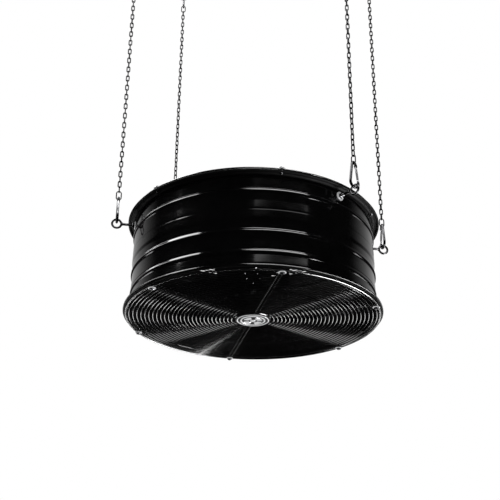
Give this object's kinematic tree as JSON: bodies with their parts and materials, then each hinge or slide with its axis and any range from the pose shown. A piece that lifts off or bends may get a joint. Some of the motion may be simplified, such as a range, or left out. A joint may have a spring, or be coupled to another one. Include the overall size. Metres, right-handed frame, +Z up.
{
  "type": "suspended drum fan",
  "caption": "Short black drum fan hung level by chains with snap hooks, blowing straight down through a concentric wire guard; propeller and motor inside.",
  "frame": {"origin": "middle of the four ceiling hooks, in the ceiling plane", "axes": "+Z up; -Y is the side that faces the viewer; the drum axis runs along Z through the origin"},
  "size_m": [0.8084, 0.7, 1.364],
  "materials": {
    "black_paint": "gloss black stove enamel on rolled steel sheet",
    "guard_wire": "gloss black powder coat on steel wire",
    "badge_metal": "silver and black badge disc with a raised bright rim",
    "zinc_plate": "bright zinc plate",
    "gate_steel": "bright zinc plate, slightly duller than the hook",
    "motor_enamel": "semi-gloss black enamel",
    "winding_core": "varnished steel laminations and windings, hidden",
    "bearing_steel": "ground steel",
    "black_plastic": "moulded black plastic",
    "blade_metal": "dark painted aluminium sheet"
  },
  "bodies": {
    "ceiling": {"ceiling_hook_1": "zinc_plate", "ceiling_hook_2": "zinc_plate", "ceiling_hook_3": "zinc_plate", "ceiling_hook_4": "zinc_plate"},
    "link_1": {"ceiling_link_1": "zinc_plate"},
    "chain_1": {"chain_1": "zinc_plate"},
    "snap_hook_1": {"snap_hook_1": "zinc_plate"},
    "snap_gate_1": {"snap_hook_gate_1": "gate_steel"},
    "link_2": {"ceiling_link_2": "zinc_plate"},
    "chain_2": {"chain_2": "zinc_plate"},
    "snap_hook_2": {"snap_hook_2": "zinc_plate"},
    "snap_gate_2": {"snap_hook_gate_2": "gate_steel"},
    "link_3": {"ceiling_link_3": "zinc_plate"},
    "chain_3": {"chain_3": "zinc_plate"},
    "snap_hook_3": {"snap_hook_3": "zinc_plate"},
    "snap_gate_3": {"snap_hook_gate_3": "gate_steel"},
    "link_4": {"ceiling_link_4": "zinc_plate"},
    "chain_4": {"chain_4": "zinc_plate"},
    "snap_hook_4": {"snap_hook_4": "zinc_plate"},
    "snap_gate_4": {"snap_hook_gate_4": "gate_steel"},
    "drum": {"drum_shell": "black_paint", "lower_guard": "guard_wire", "upper_guard": "guard_wire", "centre_badge": "badge_metal", "lower_guard_screw_1": "zinc_plate", "upper_guard_screw_1": "zinc_plate", "lower_guard_screw_2": "zinc_plate", "upper_guard_screw_2": "zinc_plate", "lower_guard_screw_3": "zinc_plate", "upper_guard_screw_3": "zinc_plate", "lower_guard_screw_4": "zinc_plate", "upper_guard_screw_4": "zinc_plate", "lower_guard_screw_5": "zinc_plate", "upper_guard_screw_5": "zinc_plate", "lower_guard_screw_6": "zinc_plate", "upper_guard_screw_6": "zinc_plate", "eye_bolt_1": "zinc_plate", "eye_bolt_nut_1": "zinc_plate", "eye_bolt_2": "zinc_plate", "eye_bolt_nut_2": "zinc_plate", "eye_bolt_3": "zinc_plate", "eye_bolt_nut_3": "zinc_plate", "eye_bolt_4": "zinc_plate", "eye_bolt_nut_4": "zinc_plate", "motor_shell": "motor_enamel", "motor_lower_bell": "motor_enamel", "motor_upper_bell": "motor_enamel", "stator": "winding_core", "lower_bearing": "bearing_steel", "upper_bearing": "bearing_steel", "motor_bar_left": "black_paint", "motor_bar_right": "black_paint", "terminal_box": "black_plastic", "cable_gland": "black_plastic"},
    "fan": {"motor_shaft": "bearing_steel", "rotor_core": "winding_core", "fan_hub": "blade_metal", "fan_blade_1": "blade_metal", "fan_blade_2": "blade_metal", "fan_blade_3": "blade_metal"}
  },
  "joints": [
    {"name": "sway_x_1", "type": "hinge", "parent": "ceiling", "child": "link_1", "pos_m": [-0.3742, -0.07681, -0.03635], "axis": [1, 0, 0], "range_deg": [-10, 10]},
    {"name": "sway_y_1", "type": "hinge", "parent": "link_1", "child": "chain_1", "pos_m": [-0.3742, -0.07681, -0.07105], "axis": [0, 1, 0], "range_deg": [-10, 10]},
    {"name": "snap_hook_level_1", "type": "hinge", "parent": "chain_1", "child": "snap_hook_1", "pos_m": [-0.3742, -0.07681, -1.03495], "axis": [0, 1, 0], "range_deg": [-10, 10]},
    {"name": "gate_1", "type": "hinge", "parent": "snap_hook_1", "child": "snap_gate_1", "pos_m": [-0.37272, -0.08403, -1.04289], "axis": [0.9796, 0.2011, 0], "range_deg": [0, 24], "stiffness_Nm_per_rad": 0.08, "springref_deg": -17.19},
    {"name": "sway_x_2", "type": "hinge", "parent": "ceiling", "child": "link_2", "pos_m": [0.25362, -0.28566, -0.03635], "axis": [1, 0, 0], "range_deg": [-10, 10]},
    {"name": "sway_y_2", "type": "hinge", "parent": "link_2", "child": "chain_2", "pos_m": [0.25362, -0.28566, -0.07105], "axis": [0, 1, 0], "range_deg": [-10, 10]},
    {"name": "snap_hook_level_2", "type": "hinge", "parent": "chain_2", "child": "snap_hook_2", "pos_m": [0.25362, -0.28566, -1.03495], "axis": [0, 1, 0], "range_deg": [-10, 10]},
    {"name": "gate_2", "type": "hinge", "parent": "snap_hook_2", "child": "snap_gate_2", "pos_m": [0.25913, -0.28076, -1.04289], "axis": [-0.6639, 0.7478, 0], "range_deg": [0, 24], "stiffness_Nm_per_rad": 0.08, "springref_deg": -17.19},
    {"name": "sway_x_3", "type": "hinge", "parent": "ceiling", "child": "link_3", "pos_m": [0.3742, 0.07681, -0.03635], "axis": [1, 0, 0], "range_deg": [-10, 10]},
    {"name": "sway_y_3", "type": "hinge", "parent": "link_3", "child": "chain_3", "pos_m": [0.3742, 0.07681, -0.07105], "axis": [0, 1, 0], "range_deg": [-10, 10]},
    {"name": "snap_hook_level_3", "type": "hinge", "parent": "chain_3", "child": "snap_hook_3", "pos_m": [0.3742, 0.07681, -1.03495], "axis": [0, 1, 0], "range_deg": [-10, 10]},
    {"name": "gate_3", "type": "hinge", "parent": "snap_hook_3", "child": "snap_gate_3", "pos_m": [0.37272, 0.08403, -1.04289], "axis": [-0.9796, -0.2011, 0], "range_deg": [0, 24], "stiffness_Nm_per_rad": 0.08, "springref_deg": -17.19},
    {"name": "sway_x_4", "type": "hinge", "parent": "ceiling", "child": "link_4", "pos_m": [-0.25362, 0.28566, -0.03635], "axis": [1, 0, 0], "range_deg": [-10, 10]},
    {"name": "sway_y_4", "type": "hinge", "parent": "link_4", "child": "chain_4", "pos_m": [-0.25362, 0.28566, -0.07105], "axis": [0, 1, 0], "range_deg": [-10, 10]},
    {"name": "snap_hook_level_4", "type": "hinge", "parent": "chain_4", "child": "snap_hook_4", "pos_m": [-0.25362, 0.28566, -1.03495], "axis": [0, 1, 0], "range_deg": [-10, 10]},
    {"name": "gate_4", "type": "hinge", "parent": "snap_hook_4", "child": "snap_gate_4", "pos_m": [-0.25913, 0.28076, -1.04289], "axis": [0.6639, -0.7478, 0], "range_deg": [0, 24], "stiffness_Nm_per_rad": 0.08, "springref_deg": -17.19},
    {"name": "drum_level", "type": "hinge", "parent": "snap_hook_1", "child": "drum", "pos_m": [-0.3742, -0.07681, -1.10065], "axis": [1, 0, 0], "range_deg": [-10, 10]},
    {"name": "fan_spin", "type": "hinge", "parent": "drum", "child": "fan", "pos_m": [0, 0, -1.25], "axis": [0, 0, 1], "continuous": true}
  ],
  "couplings": [
    {"joint": "snap_hook_level_1", "follows": "sway_y_1", "ratio": -1},
    {"joint": "sway_x_2", "follows": "sway_x_1", "ratio": 1},
    {"joint": "sway_y_2", "follows": "sway_y_1", "ratio": 1},
    {"joint": "snap_hook_level_2", "follows": "sway_y_1", "ratio": -1},
    {"joint": "sway_x_3", "follows": "sway_x_1", "ratio": 1},
    {"joint": "sway_y_3", "follows": "sway_y_1", "ratio": 1},
    {"joint": "snap_hook_level_3", "follows": "sway_y_1", "ratio": -1},
    {"joint": "sway_x_4", "follows": "sway_x_1", "ratio": 1},
    {"joint": "sway_y_4", "follows": "sway_y_1", "ratio": 1},
    {"joint": "snap_hook_level_4", "follows": "sway_y_1", "ratio": -1},
    {"joint": "drum_level", "follows": "sway_x_1", "ratio": -1}
  ]
}
